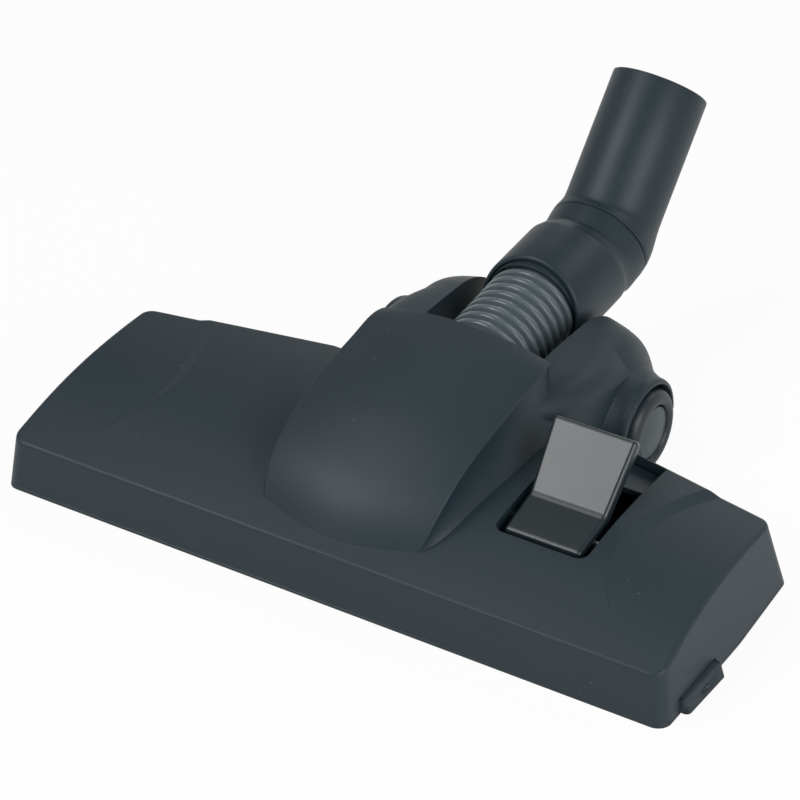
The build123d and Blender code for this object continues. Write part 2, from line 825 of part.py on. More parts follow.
# Foot pedal: a bent plate with two lugs on the pin and a toe that presses the brush down
pedal_front = (37.0, 32.5)
pedal_bend = (55.8, 37.7)
pedal_top = (75.0, 60.5)
toe_angle = radians(48.0)
toe_reach = 15.2
toe_centre = (
    back(pedal_pivot_depth + toe_reach * sin(toe_angle)),
    pedal_pivot_height - toe_reach * cos(toe_angle),
)
pivot_centre = (back(pedal_pivot_depth), pedal_pivot_height)
with BuildPart() as pedal_plate:
    with BuildSketch(side_plane(pedal_x)):
        with BuildLine():
            Polyline(
                (back(pedal_front[0]), pedal_front[1]),
                (back(pedal_bend[0]), pedal_bend[1]),
                (back(pedal_top[0]), pedal_top[1]),
                (back(pedal_top[0] + 2.3), pedal_top[1] - 1.95),
                (back(pedal_bend[0] + 1.3), pedal_bend[1] - 3.2),
                (back(pedal_front[0] + 0.8), pedal_front[1] - 2.9),
                close=True,
            )
        make_face()
    extrude(amount=pedal_top_width / 2, both=True)
    with BuildSketch(Plane.XY.offset(20)) as pedal_plan:
        with BuildLine():
            Polyline(
                (pedal_x - pedal_width / 2, back(pedal_front[0])),
                (pedal_x + pedal_width / 2, back(pedal_front[0])),
                (pedal_x + pedal_width / 2, back(pedal_bend[0])),
                (pedal_x + pedal_top_width / 2, back(pedal_top[0] + 2.3)),
                (pedal_x - pedal_top_width / 2, back(pedal_top[0] + 2.3)),
                (pedal_x - pedal_width / 2, back(pedal_bend[0])),
                close=True,
            )
        make_face()
        fillet(pedal_plan.vertices().group_by(Axis.Y)[0], 2.5)
        fillet(pedal_plan.vertices().group_by(Axis.Y)[-1], 3.2)
    extrude(amount=60, mode=Mode.INTERSECT)
    upper_faces = pedal_plate.faces().filter_by(lambda face: face.normal_at().Z > 0.5)
    long_sides = upper_faces.edges().filter_by(lambda edge: abs(edge.center().X - pedal_x) > 5)
    fillet(long_sides.filter_by(lambda edge: edge.center().Y < back(76)), 0.9)
with BuildPart() as pedal:
    add(pedal_plate.part)
    for offset_x in (-11.0, 11.0):
        with BuildSketch(side_plane(pedal_x + offset_x)):
            with BuildLine():
                Polyline(
                    (back(47), 33.2),
                    (back(59.5), 38.6),
                    pivot_centre,
                    close=True,
                )
            make_face()
            with Locations(pivot_centre):
                Circle(5.0)
            with BuildLine():
                Polyline(
                    (pivot_centre[0] - 3.0, pivot_centre[1] - 3.0),
                    (toe_centre[0] - 1.4, toe_centre[1] - 1.4),
                    (toe_centre[0] + 1.4, toe_centre[1] + 1.4),
                    (pivot_centre[0] + 3.0, pivot_centre[1] + 3.0),
                    close=True,
                )
            make_face()
            with Locations(toe_centre):
                Circle(2.0)
            with Locations(pivot_centre):
                Circle(pedal_pin_radius + 0.05, mode=Mode.SUBTRACT)
        extrude(amount=1.25, both=True)

pin_start = well_half - 0.2
pedal_rod = disc(pedal_bore, pedal_pin_radius, 30 - pin_start, 30 + pin_start)
with BuildPart() as pedal_pin:
    add(pedal_rod)

# Brush carrier over the sole, with two rows of bristle tufts
carrier_low = 9.0
carrier_high = 12.5
with BuildPart() as brush_carrier:
    with BuildSketch(Plane.XY.offset(carrier_low)):
        with Locations((0, back(front_row_depth)), (0, back(rear_row_depth))):
            Rectangle(244, 6)
        with Locations((-54, back(34.5)), (54, back(34.5)), (-120, back(34.5)), (120, back(34.5))):
            Rectangle(4, 41)
        with Locations((pedal_x, back(63))):
            Rectangle(28, 15)
    extrude(amount=carrier_high - carrier_low)

tuft_count = 18
tuft_pitch = 6.2
tuft_tip = 0.6


def bristle_row(depth):
    """Two runs of tufts, one on each side of the middle."""
    with BuildPart() as row:
        with Locations((-62, back(depth), 0), (62, back(depth), 0)):
            with GridLocations(tuft_pitch, 1, tuft_count, 1):
                Box(4.4, 4.2, carrier_low - tuft_tip, align=(Align.CENTER, Align.CENTER, Align.MIN))
    return Pos(0, 0, tuft_tip) * row.part


front_row = bristle_row(front_row_depth)
rear_row = bristle_row(rear_row_depth)
with BuildPart() as front_bristles:
    add(front_row)
with BuildPart() as rear_bristles:
    add(rear_row)

os.makedirs("parts", exist_ok=True)

top_housing.part.label = "top_housing"
export_step(top_housing.part, "parts/top_housing.step")
sole_plate.part.label = "sole_plate"
export_step(sole_plate.part, "parts/sole_plate.step")
front_lint_strip.part.label = "front_lint_strip"
export_step(front_lint_strip.part, "parts/front_lint_strip.step")
rear_lint_strip.part.label = "rear_lint_strip"
export_step(rear_lint_strip.part, "parts/rear_lint_strip.step")
sole_screws.part.label = "sole_screws"
export_step(sole_screws.part, "parts/sole_screws.step")
suction_duct.part.label = "suction_duct"
export_step(suction_duct.part, "parts/suction_duct.step")
bellows_hose.part.label = "bellows_hose"
export_step(bellows_hose.part, "parts/bellows_hose.step")
hose_front_cuff.part.label = "hose_front_cuff"
export_step(hose_front_cuff.part, "parts/hose_front_cuff.step")
hose_rear_cuff.part.label = "hose_rear_cuff"
export_step(hose_rear_cuff.part, "parts/hose_rear_cuff.step")
neck_collar.part.label = "neck_collar"
export_step(neck_collar.part, "parts/neck_collar.step")
swivel_elbow.part.label = "swivel_elbow"
export_step(swivel_elbow.part, "parts/swivel_elbow.step")
swivel_retaining_ring.part.label = "swivel_retaining_ring"
export_step(swivel_retaining_ring.part, "parts/swivel_retaining_ring.step")
axle_pin_left.part.label = "axle_pin_left"
export_step(axle_pin_left.part, "parts/axle_pin_left.step")
axle_pin_right.part.label = "axle_pin_right"
export_step(axle_pin_right.part, "parts/axle_pin_right.step")
wheel_left.part.label = "wheel_left"
export_step(wheel_left.part, "parts/wheel_left.step")
wheel_right.part.label = "wheel_right"
export_step(wheel_right.part, "parts/wheel_right.step")
tyre_left.part.label = "tyre_left"
export_step(tyre_left.part, "parts/tyre_left.step")
tyre_right.part.label = "tyre_right"
export_step(tyre_right.part, "parts/tyre_right.step")
hub_cap_left.part.label = "hub_cap_left"
export_step(hub_cap_left.part, "parts/hub_cap_left.step")
hub_cap_right.part.label = "hub_cap_right"
export_step(hub_cap_right.part, "parts/hub_cap_right.step")
pedal.part.label = "pedal"
export_step(pedal.part, "parts/pedal.step")
pedal_pin.part.label = "pedal_pin"
export_step(pedal_pin.part, "parts/pedal_pin.step")
brush_carrier.part.label = "brush_carrier"
export_step(brush_carrier.part, "parts/brush_carrier.step")
front_bristles.part.label = "front_bristles"
export_step(front_bristles.part, "parts/front_bristles.step")
rear_bristles.part.label = "rear_bristles"
export_step(rear_bristles.part, "parts/rear_bristles.step")
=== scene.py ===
"""Looks, light and camera for a moulded vacuum floor head with a tilting, swivelling neck."""

import logging
import math
from dataclasses import dataclass
from enum import Enum
from typing import Any

import bmesh
import bpy
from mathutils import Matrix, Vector


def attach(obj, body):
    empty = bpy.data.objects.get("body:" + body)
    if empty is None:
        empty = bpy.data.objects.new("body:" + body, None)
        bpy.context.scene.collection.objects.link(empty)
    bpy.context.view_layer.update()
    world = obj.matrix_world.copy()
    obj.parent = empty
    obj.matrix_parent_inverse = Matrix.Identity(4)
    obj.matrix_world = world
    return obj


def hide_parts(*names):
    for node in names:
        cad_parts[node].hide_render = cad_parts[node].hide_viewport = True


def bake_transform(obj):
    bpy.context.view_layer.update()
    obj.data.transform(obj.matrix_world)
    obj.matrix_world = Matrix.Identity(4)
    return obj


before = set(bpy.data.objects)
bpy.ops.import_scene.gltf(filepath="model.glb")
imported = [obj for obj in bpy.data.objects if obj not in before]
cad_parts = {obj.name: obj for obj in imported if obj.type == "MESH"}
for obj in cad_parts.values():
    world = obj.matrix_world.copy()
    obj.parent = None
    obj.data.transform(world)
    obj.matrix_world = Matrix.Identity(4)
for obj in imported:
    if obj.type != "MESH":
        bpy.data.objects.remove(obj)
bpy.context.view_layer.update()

MM = 0.001
# Half of the depth from the front lip to the tube's mouth, in millimetres: the frame's origin lies there
HALF_DEPTH = 132.63227
# Where the elbow turns on the collar: depth and height of the seam's middle in millimetres, rise in degrees
SWIVEL_SEAM = (202.5, 52.8)
SWIVEL_TILT = 20.0
# Number of sides of every round form that is drawn here
ROUND_SIDES = 96
# Points of a CAD mesh that lie closer than this, in metres, are one point
WELD = 1e-6
# Crease angle in degrees that leaves a form smooth all over
SMOOTH_ALL_OVER = 180.0

# Moulded plastic: size of the melt's patches and spacing of the dust, in millimetres, and the radius of a
# speck as a share of that spacing
FLOW_MM = 45.0
DUST_SPACING_MM = 11.0
SPECK_SHARE = 0.032
DUST_COLOUR = "#8f9698"
# How far the roughness falls and rises over the patches, and how strongly the grain shows
SHEEN_FALL, SHEEN_RISE = 0.04, 0.05
GRAIN_STRENGTH = 0.6
BEVEL_SAMPLES = 6
# Steel: scale along the rod that draws grain out into lines, and the fall and rise of the roughness
LINE_STRETCH = 0.05
POLISH_FALL, POLISH_RISE = 0.08, 0.1
# Pile: scale along a thread, strength and height of its relief, and its roughness
THREAD_STRETCH = 0.06
THREAD_STRENGTH = 0.9
THREAD_RELIEF_MM = 0.2
THREAD_ROUGHNESS = 0.75
LOG = logging.getLogger("floor_head")


def linear(hex_colour: str) -> tuple[float, float, float, float]:
    """Turn an sRGB hex colour into linear light.

    Args:
        hex_colour: Six hex digits after a hash sign.

    Returns:
        Linear red, green and blue, and an alpha of one.
    """
    parts = [int(hex_colour[i : i + 2], 16) / 255 for i in (1, 3, 5)]
    red, green, blue = (
        value / 12.92 if value <= 0.04045 else ((value + 0.055) / 1.055) ** 2.4 for value in parts
    )
    return red, green, blue, 1.0


def add_node(
    tree: bpy.types.NodeTree,
    kind: str,
    values: dict[str, Any] | None = None,
    links: dict[str | int, bpy.types.NodeSocket] | None = None,
    **settings: Any,
) -> bpy.types.Node:
    """Add one node with its settings and links.

    Args:
        tree: The tree that takes the node.
        kind: Blender's name for the node type.
        values: Input socket names or numbers and their constants.
        links: Input socket names or numbers and the sockets that feed them.
        settings: Properties of the node itself.

    Returns:
        The new node.
    """
    node = tree.nodes.new(kind)
    for key, value in settings.items():
        setattr(node, key, value)
    for key, value in (values or {}).items():
        node.inputs[key].default_value = value
    for key, source in (links or {}).items():
        tree.links.new(source, node.inputs[key])
    return node


def per_metre(size_mm: float) -> float:
    """Texture scale that gives cells of one size.

    Args:
        size_mm: Size of a cell in millimetres.

    Returns:
        Cells per metre.
    """
    return 1.0 / (size_mm * MM)


def blank_material(name: str) -> bpy.types.Material:
    """Make a material whose node tree is empty.

    Args:
        name: The material's name.

    Returns:
        The new material.
    """
    material = bpy.data.materials.new(name)
    material.use_nodes = True
    material.node_tree.nodes.clear()
    return material


@dataclass(frozen=True)
class MouldedPlastic:
    """An injection-moulded plastic with the fine grain of a spark-eroded mould.

    Args:
        name: The material's name.
        colour: Main colour as sRGB hex.
        shade: Second colour that the flow of the melt leaves in broad soft patches.
        roughness: Typical surface roughness.
        grain_mm: Width of one grain cell.
        grain_depth_mm: Height of the grain.
        dust: Share of the scattered pale specks that shows.
        edge_mm: Radius of the small rounding that a mould leaves on its edges.
        ior: Index of refraction.
    """

    name: str
    colour: str
    shade: str
    roughness: float
    grain_mm: float = 0.6
    grain_depth_mm: float = 0.02
    dust: float = 0.0
    edge_mm: float = 0.5
    ior: float = 1.42

    def make(self) -> bpy.types.Material:
        """Build the material.

        Returns:
            The finished material.
        """
        material = blank_material(self.name)
        tree = material.node_tree
        coords = add_node(tree, "ShaderNodeTexCoord").outputs["Object"]
        # Broad patches where the melt cooled at different speeds
        flow = add_node(
            tree,
            "ShaderNodeTexNoise",
            {"Scale": per_metre(FLOW_MM), "Detail": 2.0, "Roughness": 0.5},
            {"Vector": coords},
        )
        patches = add_node(
            tree,
            "ShaderNodeMix",
            {"A": linear(self.colour), "B": linear(self.shade)},
            {"Factor": flow.outputs["Fac"]},
            data_type="RGBA",
        )
        # Sparse specks of dust, drawn coarse enough to show
        cells = add_node(
            tree,
            "ShaderNodeTexVoronoi",
            {"Scale": per_metre(DUST_SPACING_MM), "Randomness": 1.0},
            {"Vector": coords},
        )
        speck = add_node(
            tree,
            "ShaderNodeMath",
            {1: SPECK_SHARE},
            {0: cells.outputs["Distance"]},
            operation="LESS_THAN",
        )
        shown = add_node(
            tree,
            "ShaderNodeMath",
            {1: self.dust},
            {0: speck.outputs[0]},
            operation="MULTIPLY",
        )
        dusted = add_node(
            tree,
            "ShaderNodeMix",
            {"B": linear(DUST_COLOUR)},
            {"Factor": shown.outputs[0], "A": patches.outputs["Result"]},
            data_type="RGBA",
        )
        # Mould grain, finer than a pixel, so it is drawn coarser than it is
        grain = add_node(
            tree,
            "ShaderNodeTexNoise",
            {"Scale": per_metre(self.grain_mm), "Detail": 2.0, "Roughness": 0.6},
            {"Vector": coords},
        )
        sheen = add_node(
            tree,
            "ShaderNodeMapRange",
            {"To Min": self.roughness - SHEEN_FALL, "To Max": self.roughness + SHEEN_RISE},
            {"Value": flow.outputs["Fac"]},
        )
        edge = {"Radius": self.edge_mm * MM}
        rounded = add_node(tree, "ShaderNodeBevel", edge, samples=BEVEL_SAMPLES)
        relief = add_node(
            tree,
            "ShaderNodeBump",
            {"Strength": GRAIN_STRENGTH, "Distance": self.grain_depth_mm * MM},
            {"Height": grain.outputs["Fac"], "Normal": rounded.outputs["Normal"]},
        )
        surface = add_node(
            tree,
            "ShaderNodeBsdfPrincipled",
            {"IOR": self.ior},
            {
                "Base Color": dusted.outputs["Result"],
                "Roughness": sheen.outputs["Result"],
                "Normal": relief.outputs["Normal"],
            },
        )
        add_node(
            tree,
            "ShaderNodeOutputMaterial",
            links={"Surface": surface.outputs["BSDF"]},
        )
        return material


@dataclass(frozen=True)
class DrawnSteel:
    """Ground steel rod or zinc-plated screw: a metal with fine lines along its length.

    Args:
        name: The material's name.
        colour: Colour of the metal as sRGB hex.
        roughness: Typical surface roughness.
        line_mm: Spacing of the grinding lines.
    """

    name: str
    colour: str
    roughness: float
    line_mm: float = 0.5

    def make(self) -> bpy.types.Material:
        """Build the material.

        Returns:
            The finished material.
        """
        material = blank_material(self.name)
        tree = material.node_tree
        coords = add_node(tree, "ShaderNodeTexCoord").outputs["Object"]
        stretched = add_node(
            tree,
            "ShaderNodeMapping",
            {"Scale": (LINE_STRETCH, 1.0, 1.0)},
            {"Vector": coords},
        )
        lines = add_node(
            tree,
            "ShaderNodeTexNoise",
            {"Scale": per_metre(self.line_mm), "Detail": 2.0},
            {"Vector": stretched.outputs["Vector"]},
        )
        polish = add_node(
            tree,
            "ShaderNodeMapRange",
            {"To Min": self.roughness - POLISH_FALL, "To Max": self.roughness + POLISH_RISE},
            {"Value": lines.outputs["Fac"]},
        )
        surface = add_node(
            tree,
            "ShaderNodeBsdfPrincipled",
            {"Base Color": linear(self.colour), "Metallic": 1.0},
            {"Roughness": polish.outputs["Result"]},
        )
        add_node(
            tree,
            "ShaderNodeOutputMaterial",
            links={"Surface": surface.outputs["BSDF"]},
        )
        return material


@dataclass(frozen=True)
class PileFabric:
    """Short woven pile glued into the sole, or the cut ends of nylon bristles.

    Args:
        name: The material's name.
        colour: Colour of the threads as sRGB hex.
        gap_shade: Darker colour towards the gaps between the threads, painted shade in those gaps, as sRGB
            hex.
        thread_mm: Thickness of one thread.
    """

    name: str
    colour: str
    gap_shade: str
    thread_mm: float

    def make(self) -> bpy.types.Material:
        """Build the material.

        Returns:
            The finished material.
        """
        material = blank_material(self.name)
        tree = material.node_tree
        coords = add_node(tree, "ShaderNodeTexCoord").outputs["Object"]
        standing = add_node(
            tree,
            "ShaderNodeMapping",
            {"Scale": (1.0, 1.0, THREAD_STRETCH)},
            {"Vector": coords},
        )
        threads = add_node(
            tree,
            "ShaderNodeTexVoronoi",
            {"Scale": per_metre(self.thread_mm)},
            {"Vector": standing.outputs["Vector"]},
        )
        # Each thread's colour darkens towards the gaps between threads: painted shade in the gaps
        tone = add_node(
            tree,
            "ShaderNodeMix",
            {"A": linear(self.colour), "B": linear(self.gap_shade)},
            {"Factor": threads.outputs["Distance"]},
            data_type="RGBA",
        )
        relief = add_node(
            tree,
            "ShaderNodeBump",
            {"Strength": THREAD_STRENGTH, "Distance": THREAD_RELIEF_MM * MM},
            {"Height": threads.outputs["Distance"]},
            invert=True,
        )
        surface = add_node(
            tree,
            "ShaderNodeBsdfPrincipled",
            {"Roughness": THREAD_ROUGHNESS},
            {"Base Color": tone.outputs["Result"], "Normal": relief.outputs["Normal"]},
        )
        add_node(
            tree,
            "ShaderNodeOutputMaterial",
            links={"Surface": surface.outputs["BSDF"]},
        )
        return material


class Finish(Enum):
    """The finishes of the floor head's pieces."""

    # Impact-grade ABS from a spark-eroded mould: an even, slightly bluish charcoal with a soft wide sheen
    HOUSING_ABS = MouldedPlastic("Housing_ABS_Eroded_Grain", "#1c2a31", "#202e35", 0.47, dust=0.3)
    # The same ABS in a finer grain on the round neck and tube
    NECK_ABS = MouldedPlastic("Neck_ABS_Fine_Grain", "#1c2a31", "#1f2d34", 0.44, grain_mm=0.5, dust=0.2)
    # Glass-filled polypropylene of the sole: a little drier than the housing
    SOLE_PP = MouldedPlastic("Sole_PP_Satin", "#1c292f", "#1f2d33", 0.48)
    # Polypropylene pedal, smoother than the housing, so its plate mirrors the light above as pale grey
    PEDAL_PP = MouldedPlastic(
        "Pedal_PP_Satin",
        "#1c2529",
        "#20292d",
        0.25,
        grain_mm=0.9,
        grain_depth_mm=0.035,
        dust=0.15,
        ior=1.5,
    )
    # Polypropylene wheel hub and cap, satin
    HUB_PP = MouldedPlastic("Hub_PP_Satin", "#2c383d", "#303c41", 0.4, ior=1.5)
    # Blow-moulded EVA hose: smooth skin with a clear highlight on each ridge
    HOSE_EVA = MouldedPlastic(
        "Hose_EVA_Blow_Moulded",
        "#525c61",
        "#576166",
        0.18,
        grain_mm=1.2,
        grain_depth_mm=0.01,
        edge_mm=0.15,
        ior=1.5,
    )
    # Thermoplastic rubber tyre: darker than the hub, with a low soft gloss
    TYRE_TPE = MouldedPlastic("Tyre_TPE_Matte", "#18232a", "#1b272e", 0.45, grain_mm=0.8, ior=1.5)
    # Acetal retaining ring, natural colour
    RING_POM = MouldedPlastic("Ring_POM_Natural", "#d6d4cc", "#dedcd4", 0.4)
    # Ground steel pins and plated screws
    PIN_STEEL = DrawnSteel("Pin_Steel_Ground", "#b9babb", 0.3)
    SCREW_STEEL = DrawnSteel("Screw_Steel_Zinc_Plated", "#c2c3c1", 0.35)
    # Woven lint pile in dark red
    LINT_PILE = PileFabric("Lint_Pile_Woven_Polyamide", "#7a1f1f", "#3f0f10", 0.45)
    # Nylon filament tufts, drawn as thick threads so that they show
    BRISTLE_NYLON = PileFabric("Bristle_Nylon_Filament", "#2b2f31", "#101213", 0.5)


FINISH_OF_NODE: dict[str, Finish] = {
    "top_housing": Finish.HOUSING_ABS,
    "sole_plate": Finish.SOLE_PP,
    "front_lint_strip": Finish.LINT_PILE,
    "rear_lint_strip": Finish.LINT_PILE,
    "sole_screws": Finish.SCREW_STEEL,
    "suction_duct": Finish.SOLE_PP,
    "bellows_hose": Finish.HOSE_EVA,
    "hose_front_cuff": Finish.SOLE_PP,
    "hose_rear_cuff": Finish.SOLE_PP,
    "neck_collar": Finish.NECK_ABS,
    "swivel_elbow": Finish.NECK_ABS,
    "swivel_retaining_ring": Finish.RING_POM,
    "axle_pin_left": Finish.PIN_STEEL,
    "axle_pin_right": Finish.PIN_STEEL,
    "pedal_pin": Finish.PIN_STEEL,
    "wheel_left": Finish.HUB_PP,
    "wheel_right": Finish.HUB_PP,
    "tyre_left": Finish.TYRE_TPE,
    "tyre_right": Finish.TYRE_TPE,
    "hub_cap_left": Finish.HUB_PP,
    "hub_cap_right": Finish.HUB_PP,
    "pedal": Finish.PEDAL_PP,
    "brush_carrier": Finish.SOLE_PP,
    "front_bristles": Finish.BRISTLE_NYLON,
    "rear_bristles": Finish.BRISTLE_NYLON,
}


class Wardrobe:
    """Keeps one material per finish and dresses the pieces."""

    def __init__(self) -> None:
        """Start with no material made."""
        self.made: dict[Finish, bpy.types.Material] = {}

    def material(self, finish: Finish) -> bpy.types.Material:
        """Give the material of a finish, made on first use.

        Args:
            finish: The finish asked for.

        Returns:
            Its material.
        """
        if finish not in self.made:
            self.made[finish] = finish.value.make()
        return self.made[finish]

    def dress(self, piece: bpy.types.Object, finish: Finish) -> None:
        """Put one finish on the whole of a piece.

        Args:
            piece: The object to dress.
            finish: Its finish.
        """
        piece.data.materials.clear()
        piece.data.materials.append(self.material(finish))
        LOG.info("%s wears %s", piece.name, finish.value.name)


def place(depth: float, height: float, across: float = 0.0) -> Vector:
    """Point in the part's frame.

    Args:
        depth: Distance behind the front lip, in millimetres.
        height: Height over the floor.
        across: Distance to the right of the middle.

    Returns:
        The point, in millimetres.
    """
    return Vector((across, depth - HALF_DEPTH, height))


def ring(centre: Vector, upward: Vector, radius: float) -> list[Vector]:
    """Round of points square to the axis of a round form.

    Args:
        centre: Its middle, in millimetres.
        upward: Direction of the first quarter turn, square to the axis.
        radius: Its radius.

    Returns:
        The points of the round.
    """
    turns = [2 * math.pi * side / ROUND_SIDES for side in range(ROUND_SIDES)]
    return [centre + (Vector((math.cos(t), 0, 0)) + upward * math.sin(t)) * radius for t in turns]


def round_shell(shell: bmesh.types.BMesh, rounds: list[list[Vector]]) -> None:
    """Skin a closed chain of rounds, each joined to the next and the last to the first.

    Args:
        shell: The mesh that takes the skin.
        rounds: Loops of points in millimetres, all with the same number of points.
    """
    loops = [[shell.verts.new(point * MM) for point in loop] for loop in rounds]
    count = len(loops[0])
    for one, other in zip(loops, loops[1:] + loops[:1]):
        for side in range(count):
            after = (side + 1) % count
            shell.faces.new((one[side], one[after], other[after], other[side]))


def pierced_plate(
    shell: bmesh.types.BMesh,
    outline: list[tuple[float, float, float, float]],
    centre: tuple[float, float],
    hole_radius: float,
    side: float,
) -> None:
    """Add an upright plate round a pin, its thickness running across the head.

    Args:
        shell: The mesh that takes the plate.
        outline: Depth, height, near and far distance across, in order round the pin.
        centre: Depth and height of the pin.
        hole_radius: Radius of the pin's hole.
        side: One for a plate built to the right, minus one for its mirror.
    """
    rims: list[list[Vector]] = [[], [], [], []]
    for depth, height, near, far in outline:
        turn = math.atan2(height - centre[1], depth - centre[0])
        hole_depth = centre[0] + hole_radius * math.cos(turn)
        hole_height = centre[1] + hole_radius * math.sin(turn)
        rims[0].append(place(depth, height, side * near))
        rims[1].append(place(depth, height, side * far))
        rims[2].append(place(hole_depth, hole_height, side * far))
        rims[3].append(place(hole_depth, hole_height, side * near))
    round_shell(shell, rims)


def finish_shell(shell: bmesh.types.BMesh, name: str, crease_deg: float = 32.0) -> bpy.types.Object:
    """Turn a skinned form into an object with soft and sharp edges.

    Args:
        shell: The form, which is freed.
        name: Name of the piece.
        crease_deg: Angle over which an edge stays sharp.

    Returns:
        The piece.
    """
    bmesh.ops.recalc_face_normals(shell, faces=shell.faces)
    mesh = bpy.data.meshes.new(name)
    shell.to_mesh(mesh)
    shell.free()
    mesh.shade_smooth()
    mesh.set_sharp_from_angle(angle=math.radians(crease_deg))
    piece = bpy.data.objects.new(name, mesh)
    bpy.context.scene.collection.objects.link(piece)
    return piece


@dataclass
class SolePlate:
    """Sole plate whose two end clips lean out in line with the housing's ends.

    Args:
        clip_start: Distance from the middle beyond which a point belongs to a clip, in millimetres.
        clip_height: Height of a clip.
        lean: Share of the clip's overhang that its upper edge loses.
    """

    clip_start: float = 144.3
    clip_height: float = 5.4
    lean: float = 0.92

    def build(self) -> bpy.types.Object:
        """Build the plate.

        Returns:
            The sole plate.
        """
        shell = bmesh.new()
        shell.from_mesh(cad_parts["sole_plate"].data)
        bmesh.ops.remove_doubles(shell, verts=shell.verts, dist=WELD)
        for point in shell.verts:
            overhang = abs(point.co.x) - self.clip_start * MM
            if overhang > 0:
                inward = overhang * self.lean * point.co.z / (self.clip_height * MM)
                point.co.x -= math.copysign(inward, point.co.x)
        plate = finish_shell(shell, "sole_with_clips")
        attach(plate, "base")
        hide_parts("sole_plate")
        return plate


@dataclass
class NeckCollar:
    """Collar round the hose with a soft step, a spigot for the elbow and two arms to the axle.

    Args:
        mouth: Depth and height of the middle of its mouth, in millimetres.
        barrel_tilt: Rise of the barrel in degrees.
        mouth_tilt: Rise of the mouth's own plane.
        step: Depth and height of the middle of the step.
        seam: Depth and height of the middle of the swivel seam.
        seam_tilt: Rise of the step's and the seam's planes.
        mouth_rounds: Distance behind the mouth's plane and radius of each round of the rim.
        step_rounds: Distance behind the step's plane and radius of each round of the step.
        seam_rounds: Distance behind the seam and radius of each round of the neck and spigot.
        way_rounds: Distance along the barrel and radius of each round of the inside.
        axle: Depth and height of the axle.
        arm_path: Depth, height, near and far distance across along an arm, up into the barrel and back.
        arm_eye: Radius of an arm's eye round the pin.
        eye_across: Near and far distance across of the eye.
        eye_sweep: Turns in degrees at which the eye leaves the arm and meets it again.
        eye_parts: Number of steps along the eye.
        pin_radius: Radius of the pin's hole.
    """

    mouth: tuple[float, float] = (150.0, 47.7)
    barrel_tilt: float = 5.5
    mouth_tilt: float = -7.0
    step: tuple[float, float] = (187.0, 51.27)
    seam: tuple[float, float] = SWIVEL_SEAM
    seam_tilt: float = SWIVEL_TILT
    mouth_rounds: tuple[tuple[float, float], ...] = (
        (0.0, 20.4),
        (0.0, 21.2),
        (0.15, 21.6),
        (0.5, 21.9),
        (1.1, 22.0),
        (12.0, 22.0),
    )
    step_rounds: tuple[tuple[float, float], ...] = (
        (-9.0, 22.0),
        (-2.2, 22.0),
        (-1.2, 21.9),
        (-0.4, 21.62),
        (0.3, 21.25),
        (1.2, 20.98),
        (2.4, 20.85),
    )
    seam_rounds: tuple[tuple[float, float], ...] = (
        (-9.0, 20.95),
        (-5.0, 21.25),
        (-1.2, 21.58),
        (-0.4, 21.55),
        (-0.05, 21.2),
        (0.0, 17.3),
        (4.7, 17.3),
        (4.7, 16.4),
        (6.9, 16.4),
        (6.9, 17.3),
        (8.0, 17.3),
        (8.0, 15.2),
        (-8.0, 15.2),
    )
    way_rounds: tuple[tuple[float, float], ...] = (
        (38.0, 17.6),
        (12.2, 17.6),
        (12.0, 15.4),
        (10.0, 15.4),
        (10.0, 20.4),
    )
    axle: tuple[float, float] = (141.6, 17.0)
    arm_path: tuple[tuple[float, float, float, float], ...] = (
        (134.9, 21.4, 21.0, 26.6),
        (143.5, 30.7, 21.0, 25.6),
        (152.0, 39.4, 19.4, 22.4),
        (166.0, 41.4, 19.4, 22.4),
        (163.0, 34.6, 19.4, 23.2),
        (155.3, 23.2, 21.0, 25.6),
        (147.6, 11.7, 21.0, 26.6),
    )
    arm_eye: float = 8.0
    eye_across: tuple[float, float] = (21.0, 26.6)
    eye_sweep: tuple[float, float] = (-41.5, -213.3)
    eye_parts: int = 18
    pin_radius: float = 3.05

    def barrel_round(
        self, spot: tuple[float, float], tilt: float, behind: float, radius: float
    ) -> list[Vector]:
        """Round where the barrel of this radius meets a tilted plane.

        Args:
            spot: Depth and height of a point of the plane.
            tilt: Rise of the plane's normal in degrees.
            behind: Distance behind the plane, along the barrel.
            radius: Radius of the barrel.

        Returns:
            The points of the round.
        """
        lean, face = math.radians(self.barrel_tilt), math.radians(tilt)
        along = Vector((0.0, math.cos(lean), math.sin(lean)))
        upward = Vector((0.0, -math.sin(lean), math.cos(lean)))
        normal = Vector((0.0, math.cos(face), math.sin(face)))
        loop = []
        for side in range(ROUND_SIDES):
            turn = 2 * math.pi * side / ROUND_SIDES
            start = place(*self.mouth, radius * math.cos(turn)) + upward * radius * math.sin(turn)
            reach = (place(*spot) - start).dot(normal) / along.dot(normal)
            loop.append(start + along * (reach + behind))
        return loop

    def flat_round(
        self, spot: tuple[float, float], tilt: float, behind: float, radius: float
    ) -> list[Vector]:
        """Plain round square to its own axis.

        Args:
            spot: Depth and height of a point of the axis.
            tilt: Rise of the axis in degrees.
            behind: Distance along the axis.
            radius: Radius of the round.

        Returns:
            The points of the round.
        """
        lean = math.radians(tilt)
        centre = place(*spot) + Vector((0.0, math.cos(lean), math.sin(lean))) * behind
        return ring(centre, Vector((0.0, -math.sin(lean), math.cos(lean))), radius)

    def arm_outline(self) -> list[tuple[float, float, float, float]]:
        """Outline of one arm: the end that runs up into the barrel and its eye round the pin.

        Returns:
            Depth, height, near and far distance across of each point.
        """
        outline = list(self.arm_path)
        start, end = self.eye_sweep
        for part in range(1, self.eye_parts):
            turn = math.radians(start + (end - start) * part / self.eye_parts)
            depth = self.axle[0] + self.arm_eye * math.cos(turn)
            height = self.axle[1] + self.arm_eye * math.sin(turn)
            outline.append((depth, height, *self.eye_across))
        return outline

